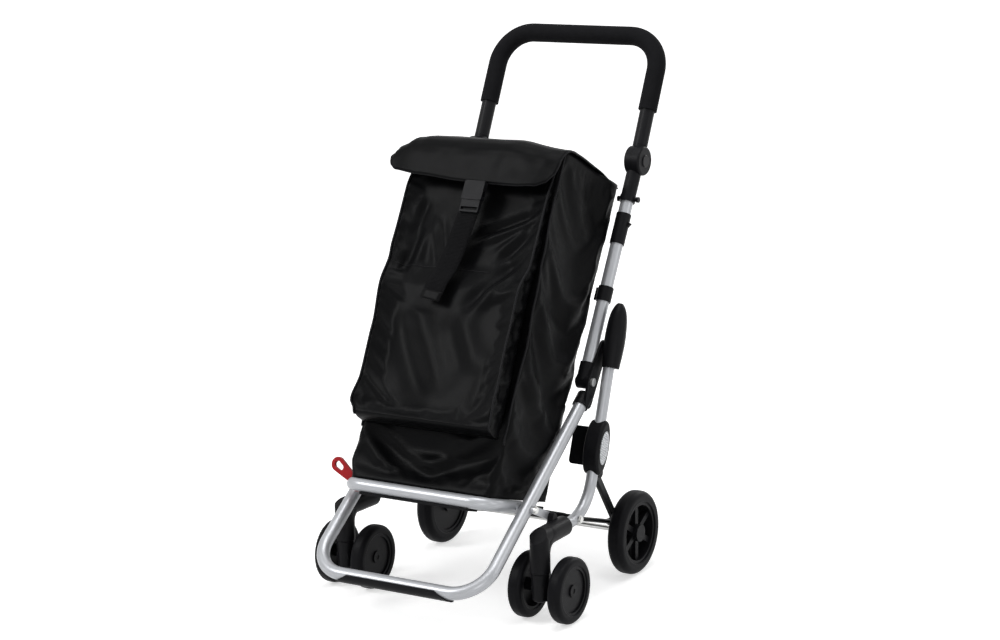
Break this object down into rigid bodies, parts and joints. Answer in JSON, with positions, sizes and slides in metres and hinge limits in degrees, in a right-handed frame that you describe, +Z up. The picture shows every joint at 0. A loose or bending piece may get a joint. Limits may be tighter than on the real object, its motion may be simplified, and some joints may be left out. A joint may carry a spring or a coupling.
{
  "type": "shopping_trolley",
  "caption": "Folding shopping trolley with a soft black bag on a silver tube frame, twin-wheel swivel casters in front, larger rear wheels and a tilting foam handle",
  "frame": {"origin": "on the floor, under the middle of the trolley's outline", "axes": "+Z up, -Y to the front where the bag's lid and the casters face, +X to the right as seen from the front"},
  "size_m": [0.548, 0.753, 1.05],
  "materials": {
    "satin_aluminium": "satin silver tube",
    "black_metal": "satin black paint",
    "black_plastic": "fine-grained black moulding",
    "gloss_black": "smooth black moulding",
    "black_foam": "soft black foam",
    "black_tyre": "solid black tyre",
    "bag_fabric": "coated black woven cloth with a faint sheen",
    "bag_webbing": "ribbed black webbing",
    "red_latch": "red moulding",
    "reflector": "clear prismatic reflector",
    "steel": "bright zinc-plated steel"
  },
  "bodies": {
    "chassis": {"side_tube_left": "satin_aluminium", "side_tube_right": "satin_aluminium", "front_loop": "satin_aluminium", "skid_pad": "black_plastic", "leaf_caps": "black_plastic", "hinge_base_left": "black_plastic", "hinge_base_right": "black_plastic", "hinge_pins": "steel", "caster_elbow_left": "black_plastic", "caster_elbow_right": "black_plastic", "strut_housings": "black_plastic", "reflectors": "reflector", "bag_rest_plates": "black_metal", "rear_legs": "black_metal", "brace_rods": "black_metal", "rear_axle": "steel", "rear_crossbar": "black_metal", "frame_links": "satin_aluminium", "frame_bolts": "steel", "platform_loop": "satin_aluminium", "platform_deck": "black_plastic", "lever_bracket": "black_plastic"},
    "upright": {"lower_tube_left": "satin_aluminium", "lower_tube_right": "satin_aluminium", "hinge_knuckles": "black_plastic", "clip_sleeves": "black_plastic", "bag_collars": "black_plastic", "upper_tube_left": "black_plastic", "upper_tube_right": "black_plastic", "hook_bolts": "gloss_black", "bag_body": "bag_fabric", "front_pocket": "bag_fabric", "bag_base_board": "black_plastic"},
    "handle": {"handle_tube": "black_metal", "foam_grip": "black_foam", "handle_hub_left": "black_plastic", "handle_hub_right": "black_plastic"},
    "tilt_button_left": {"tilt_button_left": "gloss_black"},
    "tilt_button_right": {"tilt_button_right": "gloss_black"},
    "lid": {"bag_lid": "bag_fabric", "buckle_socket": "gloss_black"},
    "plug": {"buckle_plug": "gloss_black", "strap_tail": "bag_webbing"},
    "lock_lever": {"lock_lever": "red_latch"},
    "caster_left": {"caster_fork_left": "black_plastic", "caster_axle_left": "steel"},
    "caster_wheel_inner_left": {"caster_inner_tyre_left": "black_tyre", "caster_inner_hub_left": "black_plastic"},
    "caster_wheel_outer_left": {"caster_outer_tyre_left": "black_tyre", "caster_outer_hub_left": "black_plastic"},
    "rear_wheel_left": {"rear_tyre_left": "black_tyre", "rear_hub_left": "black_plastic"},
    "caster_right": {"caster_fork_right": "black_plastic", "caster_axle_right": "steel"},
    "caster_wheel_inner_right": {"caster_inner_tyre_right": "black_tyre", "caster_inner_hub_right": "black_plastic"},
    "caster_wheel_outer_right": {"caster_outer_tyre_right": "black_tyre", "caster_outer_hub_right": "black_plastic"},
    "rear_wheel_right": {"rear_tyre_right": "black_tyre", "rear_hub_right": "black_plastic"}
  },
  "joints": [
    {"name": "handle_fold", "type": "hinge", "parent": "chassis", "child": "upright", "pos_m": [0, 0.0323, 0.407], "axis": [1, 0, 0], "range_deg": [0, 110], "deforming": ["bag_body", "front_pocket", "bag_base_board", "bag_lid", "buckle_socket", "buckle_plug", "strap_tail"]},
    {"name": "handle_tilt", "type": "hinge", "parent": "upright", "child": "handle", "pos_m": [0, 0.24909, 0.80134], "axis": [1, 0, 0], "range_deg": [-40, 15]},
    {"name": "tilt_button_left_press", "type": "slide", "parent": "handle", "child": "tilt_button_left", "axis": [1, 0, 0], "range_m": [0, 0.0035], "stiffness_N_per_m": 600, "springref_m": -0.002},
    {"name": "tilt_button_right_press", "type": "slide", "parent": "handle", "child": "tilt_button_right", "axis": [-1, 0, 0], "range_m": [0, 0.0035], "stiffness_N_per_m": 600, "springref_m": -0.002},
    {"name": "lid_open", "type": "hinge", "parent": "upright", "child": "lid", "pos_m": [0, 0.2039, 0.76273], "axis": [-1, 0, 0], "range_deg": [0, 72]},
    {"name": "buckle_release", "type": "slide", "parent": "lid", "child": "plug", "axis": [0, -0.4818, -0.8763], "range_m": [0, 0.03]},
    {"name": "lock_lever_turn", "type": "hinge", "parent": "chassis", "child": "lock_lever", "pos_m": [-0.156, -0.24183, 0.22859], "axis": [0, 0.9574, -0.2887], "range_deg": [0, 20], "stiffness_Nm_per_rad": 0.5, "springref_deg": -5.73},
    {"name": "caster_swivel_left", "type": "hinge", "parent": "chassis", "child": "caster_left", "pos_m": [-0.218, -0.201, 0.099], "axis": [0, 0, 1], "continuous": true},
    {"name": "caster_wheel_inner_left_spin", "type": "hinge", "parent": "caster_left", "child": "caster_wheel_inner_left", "pos_m": [-0.176, -0.17, 0.0625], "axis": [1, 0, 0], "continuous": true},
    {"name": "caster_wheel_outer_left_spin", "type": "hinge", "parent": "caster_left", "child": "caster_wheel_outer_left", "pos_m": [-0.26, -0.17, 0.0625], "axis": [1, 0, 0], "continuous": true},
    {"name": "rear_wheel_left_spin", "type": "hinge", "parent": "chassis", "child": "rear_wheel_left", "pos_m": [-0.221, 0.1535, 0.0825], "axis": [1, 0, 0], "continuous": true},
    {"name": "caster_swivel_right", "type": "hinge", "parent": "chassis", "child": "caster_right", "pos_m": [0.218, -0.201, 0.099], "axis": [0, 0, 1], "continuous": true},
    {"name": "caster_wheel_inner_right_spin", "type": "hinge", "parent": "caster_right", "child": "caster_wheel_inner_right", "pos_m": [0.176, -0.17, 0.0625], "axis": [1, 0, 0], "continuous": true},
    {"name": "caster_wheel_outer_right_spin", "type": "hinge", "parent": "caster_right", "child": "caster_wheel_outer_right", "pos_m": [0.26, -0.17, 0.0625], "axis": [1, 0, 0], "continuous": true},
    {"name": "rear_wheel_right_spin", "type": "hinge", "parent": "chassis", "child": "rear_wheel_right", "pos_m": [0.221, 0.1535, 0.0825], "axis": [1, 0, 0], "continuous": true}
  ]
}
